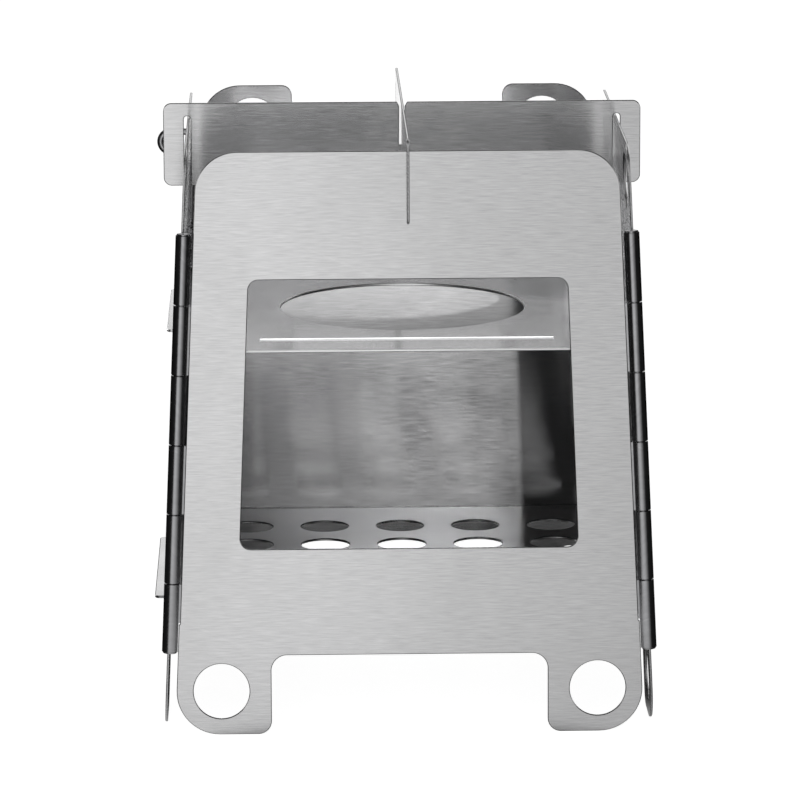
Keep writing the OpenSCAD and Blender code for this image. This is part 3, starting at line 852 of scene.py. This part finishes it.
def floorPaint():  # white to the camera, as bright as the studio elsewhere, dark under the stove
    paint = bpy.data.materials.new("Pale floor")
    paint.use_nodes = True
    paint.node_tree.nodes.clear()
    make = nodeMaker(paint.node_tree)
    spot = make("ShaderNodeTexCoord").outputs["Object"]
    ways = make("ShaderNodeSeparateXYZ", {0: spot}).outputs
    # the direction as the stove's front or rear sees it: straight ahead, and slanting at the sides
    half = studio["stoveHalf"]
    beyond = calc(make, "SUBTRACT", calc(make, "ABSOLUTE", ways[1]), half)
    ahead = calc(make, "MAXIMUM", beyond, studio["nearest"])
    ownWidth = make("ShaderNodeClamp", {0: ways[0], 1: -half, 2: half}).outputs[0]
    slant = calc(make, "DIVIDE", calc(make, "SUBTRACT", ways[0], ownWidth), ahead)
    aside = calc(make, "MULTIPLY_ADD", ownWidth, studio["widthSlant"], slant)
    facing = calc(make, "SIGN", ways[1])
    farther = calc(make, "ADD", ahead, studio["sinkDepth"])
    down = calc(make, "DIVIDE", -studio["sinkHeight"], farther)
    direction = vectorCalc(make, "NORMALIZE", combined(make, aside, facing, down))
    distance = make("ShaderNodeVectorMath", {0: spot}, operation="LENGTH").outputs["Value"]
    shadeEnd = studio["shadeRadius"] + studio["shadeEdge"]
    shade = remap(make, distance, studio["shadeRadius"], shadeEnd)
    shaded = mixLevel(make, shade, studio["shadeLevel"], levelToward(make, direction))
    isCamera = make("ShaderNodeLightPath").outputs["Is Camera Ray"]
    glow = make("ShaderNodeEmission", {
        "Color": mixLevel(make, isCamera, shaded, studio["floorGlow"])})
    matt = make("ShaderNodeBsdfDiffuse", {
        "Color": calc(make, "MULTIPLY", isCamera, studio["floorDiffuse"])})
    above = make("ShaderNodeAddShader", {0: glow.outputs[0], 1: matt.outputs[0]}).outputs[0]
    below = make("ShaderNodeBsdfTransparent").outputs[0]  # the stove can be seen from underneath
    isBelow = make("ShaderNodeNewGeometry").outputs["Backfacing"]
    sides = make("ShaderNodeMixShader", {0: isBelow, 1: above, 2: below})
    make("ShaderNodeOutputMaterial", {"Surface": sides.outputs[0]})
    return paint


def studioWorld():  # white to the camera, and the soft box to everything else
    world = bpy.data.worlds.new("Studio")
    world.use_nodes = True
    world.node_tree.nodes.clear()
    make = nodeMaker(world.node_tree)
    level = levelToward(make, make("ShaderNodeTexCoord").outputs["Generated"])
    lit = calc(make, "ADD", level, studio["ambient"])
    isCamera = make("ShaderNodeLightPath").outputs["Is Camera Ray"]
    background = make("ShaderNodeBackground", {"Color": mixLevel(make, isCamera, lit, 1.0)})
    make("ShaderNodeOutputWorld", {"Surface": background.outputs[0]})
    return world


bpy.ops.mesh.primitive_plane_add(size=studio["floorSize"], location=(0, 0, 0))
floor = bpy.context.object
floor.name = "studioFloor"
floor.data.materials.append(floorPaint())
floor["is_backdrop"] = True
bpy.context.scene.world = studioWorld()
bpy.context.scene.view_settings.view_transform = "Standard"
print("studio ready")

# lamps: places, targets and sizes in metres
stoveMiddle = (0, 0, 0.09)
lamps = {
    "leftSoftLight": {"place": (-1.5, 0.1, 0.45), "size": (0.8, 0.8), "watts": 6.0},
    "rightSoftLight": {"place": (1.5, 0.1, 0.45), "size": (0.8, 0.8), "watts": 5.0},
    "rearLeftSoftLight": {"place": (-1.0, 1.1, 0.5), "size": (0.7, 0.8), "watts": 6.0},
    "rearRightSoftLight": {"place": (1.0, 1.1, 0.5), "size": (0.7, 0.8), "watts": 6.0},
    "upperFill": {"place": (0, -1.05, 1.15), "size": (1.0, 1.0), "watts": 9.0,
                  "lights": ("rearPanel", "burnerPlate")},
    # reaches the lower half of the rear wall through the fuel window
    "windowSpot": {"place": (0.315, -3.95, 0.765), "target": (0, 0.07, 0.06), "cone": 3.0,
                   "blend": 0.25, "size": 0.03, "watts": 56.0, "lights": ("rearPanel",)},
}


def receivers(name, pieces):  # the pieces that a lamp lights
    lit = bpy.data.collections.new(name)
    for piece in pieces:
        lit.objects.link(piece)
    return lit


# the side and rear lights leave the dark knuckles alone
sheetEnds = ("Panel", "Plate", "Grate")
sheetsOnly = receivers("sheetsOnly", [
    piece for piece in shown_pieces()
    if piece.name.endswith(sheetEnds) or piece.name.startswith("support")])
for name, lamp in lamps.items():
    data = bpy.data.lights.new(name, "SPOT" if "cone" in lamp else "AREA")
    data.energy = lamp["watts"]
    if "cone" in lamp:
        data.spot_size, data.spot_blend = math.radians(lamp["cone"]), lamp["blend"]
        data.shadow_soft_size = lamp["size"]
    else:
        data.shape = "RECTANGLE"
        data.size, data.size_y = lamp["size"]
    hung = bpy.data.objects.new(name, data)
    hung.location = lamp["place"]
    away = Vector(lamp["place"]) - Vector(lamp.get("target", stoveMiddle))
    hung.rotation_mode = "QUATERNION"
    hung.rotation_quaternion = away.to_track_quat("Z", "Y")
    hung.visible_camera = False
    bpy.context.scene.collection.objects.link(hung)
    chosen = [bpy.data.objects[piece] for piece in lamp.get("lights", ())]
    only = receivers(name + "Only", chosen) if chosen else sheetsOnly
    hung.light_linking.receiver_collection = only
print("lamps ready")

# camera, from the photograph's perspective
view = {"distance": 1.575987, "elevation": 12.133, "azimuth": -1.334, "roll": -0.211,
        "target": (-0.000913, 0.0, 0.086013), "lens": 229.095, "sensor": 36.0}
elevation, azimuth, roll = (math.radians(view[key]) for key in ("elevation", "azimuth", "roll"))
back = Vector((math.sin(azimuth) * math.cos(elevation),
               -math.cos(azimuth) * math.cos(elevation), math.sin(elevation)))
right = Vector((math.cos(azimuth), math.sin(azimuth), 0))
up = back.cross(right)
rolledRight = math.cos(roll) * right + math.sin(roll) * up
rolledUp = -math.sin(roll) * right + math.cos(roll) * up
cameraData = bpy.data.cameras.new("camera")
cameraData.lens, cameraData.sensor_width = view["lens"], view["sensor"]
camera = bpy.data.objects.new("camera", cameraData)
bpy.context.scene.collection.objects.link(camera)
place = Vector(view["target"]) + back * view["distance"]
turn = Matrix((rolledRight, rolledUp, back)).transposed().to_4x4()
camera.matrix_world = Matrix.Translation(place) @ turn
bpy.context.scene.camera = camera
print("camera ready")
